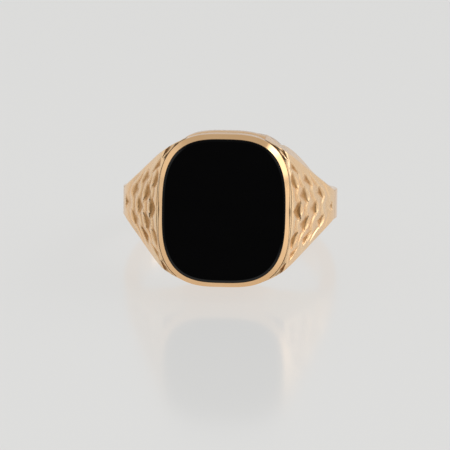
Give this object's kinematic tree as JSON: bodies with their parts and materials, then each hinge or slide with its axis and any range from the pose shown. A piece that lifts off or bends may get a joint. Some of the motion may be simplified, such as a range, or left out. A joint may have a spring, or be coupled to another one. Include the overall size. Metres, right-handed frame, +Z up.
{
  "type": "signet ring",
  "caption": "Gold signet ring with a flat cushion-shaped onyx tablet in a plain rubbed-over bezel, scale-cut tapering shoulders and a plain shank.",
  "frame": {"origin": "under the middle of the ring's bounding box, on the surface it rests on", "axes": "+Z up, -Y towards the side the stone faces, +X across the finger. The ring leans back 16.96 degrees about X, resting on its head's lower edge and its shank, so the finger hole's axis is (0, 0.2916, 0.9565) through (0, 0.002060, 0.004643)"},
  "size_m": [0.022, 0.0261, 0.0157],
  "materials": {
    "gold": "polished 9 carat yellow gold with a slight rose tint",
    "gold_solder": "polished gold solder",
    "onyx": "polished black onyx",
    "cement": "hard jeweller's cement"
  },
  "bodies": {
    "root": {"onyx_tablet": "onyx", "stone_cement": "cement", "bezel_collar": "gold", "bezel_bearer": "gold", "bezel_solder": "gold_solder", "head_collet": "gold", "head_solder_left": "gold_solder", "head_solder_right": "gold_solder", "shoulder_left": "gold", "shoulder_right": "gold", "shank_solder_left": "gold_solder", "shank_solder_right": "gold_solder", "shank_band": "gold"}
  },
  "joints": []
}
